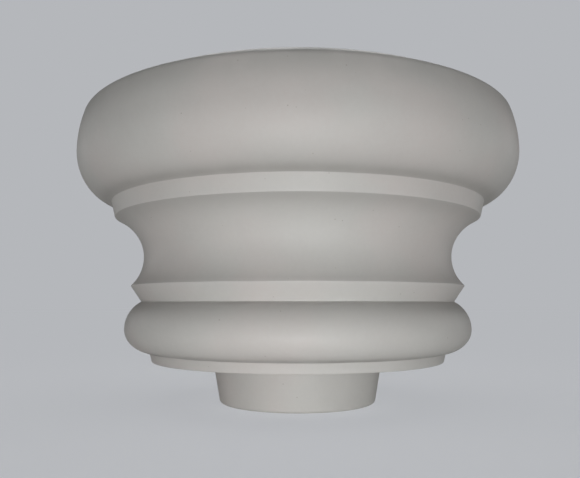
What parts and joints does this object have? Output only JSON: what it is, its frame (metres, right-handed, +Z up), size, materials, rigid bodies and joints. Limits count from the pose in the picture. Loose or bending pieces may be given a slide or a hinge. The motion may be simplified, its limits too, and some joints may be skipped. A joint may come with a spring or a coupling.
{
  "type": "porcelain post insulator",
  "caption": "Squat turned porcelain post insulator with a locating spigot under a seat disc, and a tapped iron fitting cemented into each end.",
  "frame": {"origin": "on the insulator's axis, at the bottom rim of the locating spigot", "axes": "+Z up along the axis from the spigot to the top face; +X and +Y lie between the bolt holes of the top fitting"},
  "size_m": [0.19, 0.19, 0.1265],
  "materials": {
    "glazed_porcelain": "light grey glaze, satin",
    "galvanised_iron": "hot-dip galvanised",
    "cement": "matt",
    "cork": "raw cork",
    "sealant": "cured silicone, satin"
  },
  "bodies": {
    "root": {"porcelain_body": "glazed_porcelain", "top_fitting": "galvanised_iron", "top_cement": "cement", "top_cushion": "cork", "top_seal": "sealant", "bottom_fitting": "galvanised_iron", "bottom_cement": "cement", "bottom_cushion": "cork", "bottom_seal": "sealant"}
  },
  "joints": []
}
